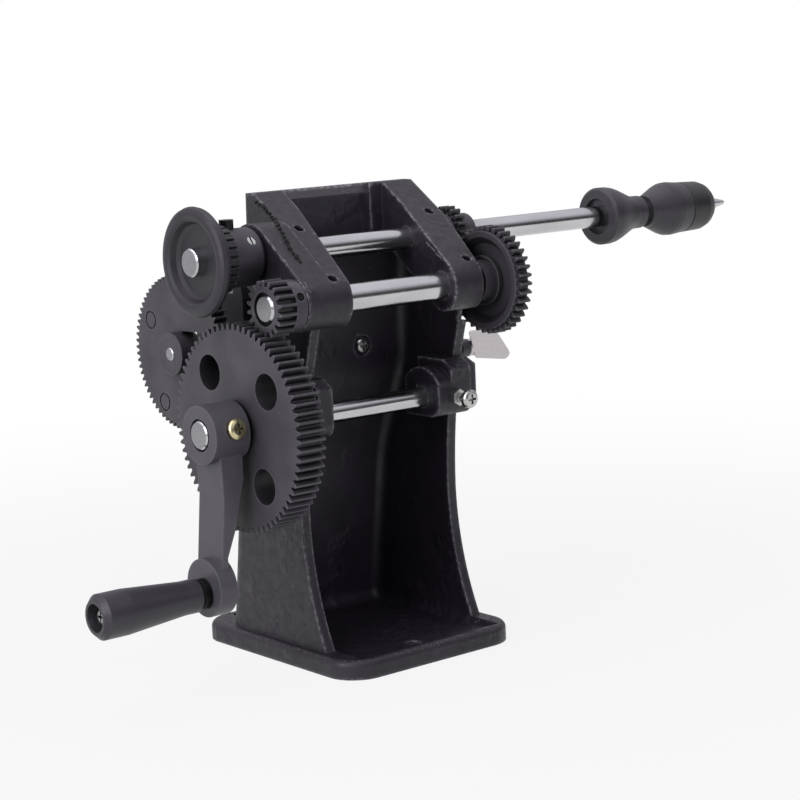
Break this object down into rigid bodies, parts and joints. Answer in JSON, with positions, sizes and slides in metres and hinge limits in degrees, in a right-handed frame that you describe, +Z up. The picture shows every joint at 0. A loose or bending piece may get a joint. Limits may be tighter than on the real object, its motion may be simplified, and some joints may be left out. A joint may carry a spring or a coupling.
{
  "type": "hand winding machine",
  "caption": "Hand-cranked bench winding machine: cast iron frame, geared spindle with two clamping cones, crank with turning grip, revolution counter with reset key",
  "frame": {"origin": "centre of the underside of the base, on the surface the machine stands on", "axes": "+X runs along the shafts to the cones, +Y from the open front of the frame to its back wall, +Z up"},
  "size_m": [0.402, 0.1459, 0.2148],
  "materials": {
    "cast_enamel": "near-black enamel on a rough casting",
    "ground_steel": "bright ground steel",
    "dark_gear": "dark grey blackened steel",
    "arm_paint": "dark grey, satin",
    "black_satin": "black satin",
    "zinc": "zinc plated",
    "yellow_zinc": "yellow zinc plated",
    "dark_screw": "blackened steel",
    "key_metal": "pale satin metal",
    "wheel_white": "white number wheels",
    "carry_plastic": "pale plastic",
    "pane": "clear"
  },
  "bodies": {
    "frame": {"frame_casting": "cast_enamel", "idler_stud": "zinc", "counter_case": "black_satin", "counter_window": "pane", "counter_screws": "zinc", "carry_wheels": "carry_plastic", "lug_screw": "zinc", "lug_lock_nut": "zinc"},
    "crank": {"crank_shaft": "ground_steel", "main_drive_gear": "dark_gear", "counter_drive_gear": "dark_gear", "crank_arm": "arm_paint", "crank_clamp_screw": "yellow_zinc", "grip_pin": "dark_screw", "grip_washer": "zinc", "grip_screw": "zinc"},
    "grip": {"handle_grip": "black_satin"},
    "intermediate": {"intermediate_shaft": "ground_steel", "intermediate_pinion": "dark_gear", "pinion_set_screw": "dark_screw", "intermediate_gear": "dark_gear"},
    "spindle": {"spindle_shaft": "ground_steel", "spindle_pinion": "dark_gear", "spindle_pinion_screw": "dark_screw", "hand_disc": "dark_gear", "spindle_collar": "dark_gear", "collar_set_screw": "zinc", "collar_cap_screw": "dark_screw"},
    "inner_clamp": {"inner_cone": "black_satin", "inner_cone_screw": "dark_screw"},
    "outer_clamp": {"outer_cone": "black_satin", "outer_cone_screw": "dark_screw", "spindle_end_nut": "black_satin"},
    "idler": {"counter_idler_gear": "dark_gear"},
    "counter_input": {"counter_gear": "dark_gear", "counter_input_shaft": "ground_steel", "units_wheel": "wheel_white"},
    "tens": {"tens_wheel": "wheel_white"},
    "hundreds": {"hundreds_wheel": "wheel_white"},
    "thousands": {"thousands_wheel": "wheel_white"},
    "reset": {"reset_shaft": "ground_steel", "reset_collar": "black_satin", "reset_key": "key_metal"}
  },
  "joints": [
    {"name": "crank_spin", "type": "hinge", "parent": "frame", "child": "crank", "pos_m": [0, -0.0273, 0.1158], "axis": [1, 0, 0], "continuous": true},
    {"name": "grip_spin", "type": "hinge", "parent": "crank", "child": "grip", "pos_m": [0, -0.0273, 0.0465], "axis": [1, 0, 0], "continuous": true},
    {"name": "intermediate_spin", "type": "hinge", "parent": "frame", "child": "intermediate", "pos_m": [0, -0.04571, 0.16895], "axis": [1, 0, 0], "continuous": true},
    {"name": "spindle_spin", "type": "hinge", "parent": "frame", "child": "spindle", "pos_m": [0, -0.01621, 0.18893], "axis": [1, 0, 0], "continuous": true},
    {"name": "counter_idler_spin", "type": "hinge", "parent": "frame", "child": "idler", "pos_m": [0, 0.00887, 0.10801], "axis": [1, 0, 0], "continuous": true},
    {"name": "counter_input_spin", "type": "hinge", "parent": "frame", "child": "counter_input", "pos_m": [0, 0.03639, 0.14234], "axis": [1, 0, 0], "continuous": true},
    {"name": "tens_spin", "type": "hinge", "parent": "frame", "child": "tens", "pos_m": [0, 0.03639, 0.14234], "axis": [1, 0, 0], "continuous": true},
    {"name": "hundreds_spin", "type": "hinge", "parent": "frame", "child": "hundreds", "pos_m": [0, 0.03639, 0.14234], "axis": [1, 0, 0], "continuous": true},
    {"name": "thousands_spin", "type": "hinge", "parent": "frame", "child": "thousands", "pos_m": [0, 0.03639, 0.14234], "axis": [1, 0, 0], "continuous": true},
    {"name": "reset_turn", "type": "hinge", "parent": "frame", "child": "reset", "pos_m": [0, 0.0244, 0.1259], "axis": [1, 0, 0], "range_deg": [0, 360]},
    {"name": "inner_cone_slide", "type": "slide", "parent": "spindle", "child": "inner_clamp", "axis": [1, 0, 0], "range_m": [-0.07, 0]},
    {"name": "outer_cone_slide", "type": "slide", "parent": "spindle", "child": "outer_clamp", "axis": [1, 0, 0], "range_m": [-0.0035, 0.06]}
  ],
  "couplings": [
    {"joint": "intermediate_spin", "follows": "crank_spin", "ratio": -4},
    {"joint": "spindle_spin", "follows": "crank_spin", "ratio": 8},
    {"joint": "counter_idler_spin", "follows": "crank_spin", "ratio": -3.1111},
    {"joint": "counter_input_spin", "follows": "crank_spin", "ratio": 0.8},
    {"joint": "tens_spin", "follows": "crank_spin", "ratio": 0.08},
    {"joint": "hundreds_spin", "follows": "crank_spin", "ratio": 0.008},
    {"joint": "thousands_spin", "follows": "crank_spin", "ratio": 0.0008}
  ]
}
